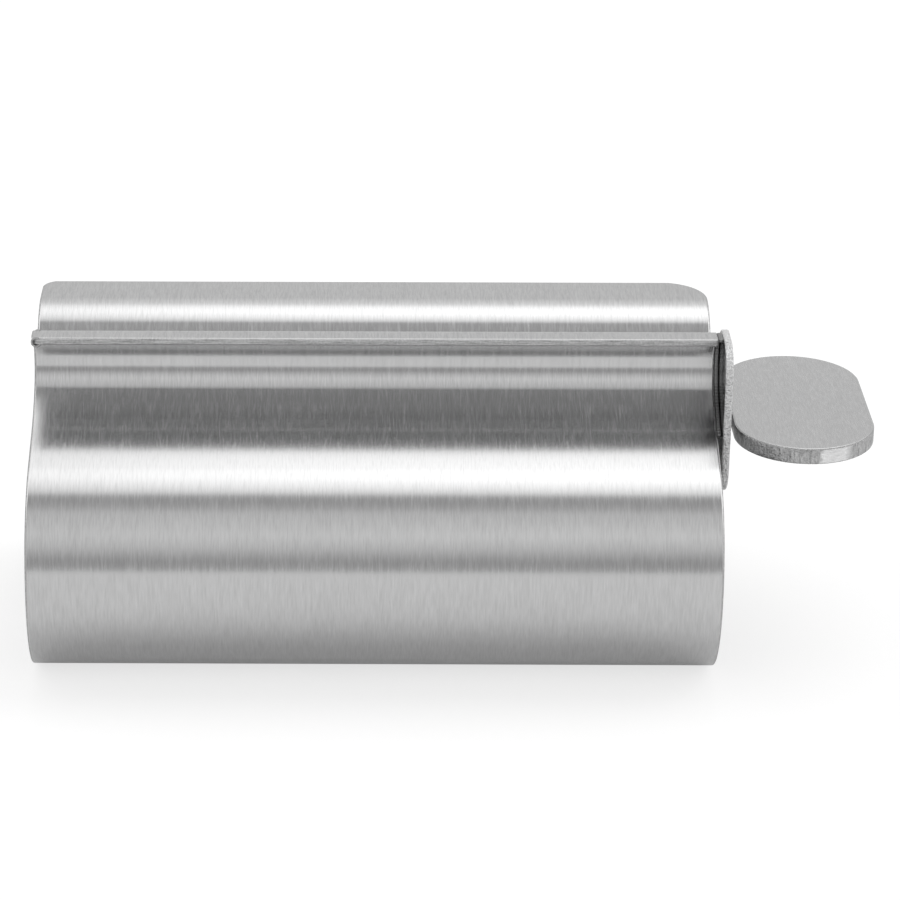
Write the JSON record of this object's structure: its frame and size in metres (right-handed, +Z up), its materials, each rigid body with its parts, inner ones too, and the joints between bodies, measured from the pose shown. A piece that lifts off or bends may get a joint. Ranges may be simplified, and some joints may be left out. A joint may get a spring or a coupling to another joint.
{
  "type": "toothpaste dispenser",
  "caption": "Bent steel tube squeezer on a flat foot, with a slot along its top and a side key whose split shaft winds up a tube's tail.",
  "frame": {"origin": "middle of the flat foot, on the surface the part stands on", "axes": "+X along the key's shaft towards the thumb plate, +Y from the lip to the rear flange, +Z up"},
  "size_m": [0.1109, 0.0534, 0.0434],
  "materials": {
    "shell_steel": "brushed",
    "plate_steel": "satin",
    "key_steel": "brushed",
    "weld_steel": "rough"
  },
  "bodies": {
    "body": {"shell": "shell_steel", "right_side_plate": "plate_steel", "left_side_plate": "plate_steel", "right_plate_welds": "weld_steel", "left_plate_welds": "weld_steel"},
    "key": {"split_shaft": "key_steel", "thumb_plate": "key_steel", "thumb_plate_weld": "weld_steel"}
  },
  "joints": [
    {"name": "key_turn", "type": "hinge", "parent": "body", "child": "key", "pos_m": [0, 0, 0.0307], "axis": [1, 0, 0], "continuous": true}
  ]
}
